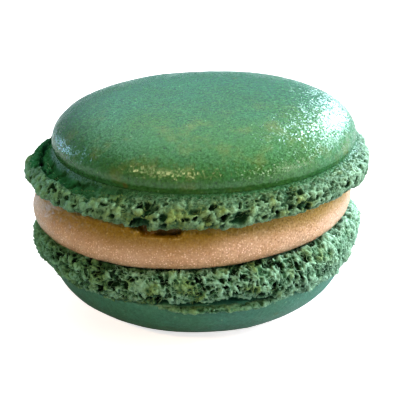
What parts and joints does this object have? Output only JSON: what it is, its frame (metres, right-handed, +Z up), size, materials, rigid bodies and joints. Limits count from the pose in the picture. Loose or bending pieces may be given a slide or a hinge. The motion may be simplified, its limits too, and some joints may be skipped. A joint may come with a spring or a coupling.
{
  "type": "french macaron",
  "caption": "Green almond macaron, 45 mm across and 28 mm tall: two smooth domed shells with ruffled, bubbly feet around a thick disc of peach cream",
  "frame": {"origin": "middle of the box on the table, under the small flat of the bottom shell", "axes": "+Z up through both shells, -Y the front, +X to the right seen from the front"},
  "size_m": [0.0454, 0.0452, 0.0281],
  "materials": {
    "baked_shell": "satin dome, matte open crumb at the foot",
    "cream": "satin, finely grained"
  },
  "bodies": {
    "root": {"bottom_shell": "baked_shell", "filling": "cream", "top_shell": "baked_shell"}
  },
  "joints": []
}
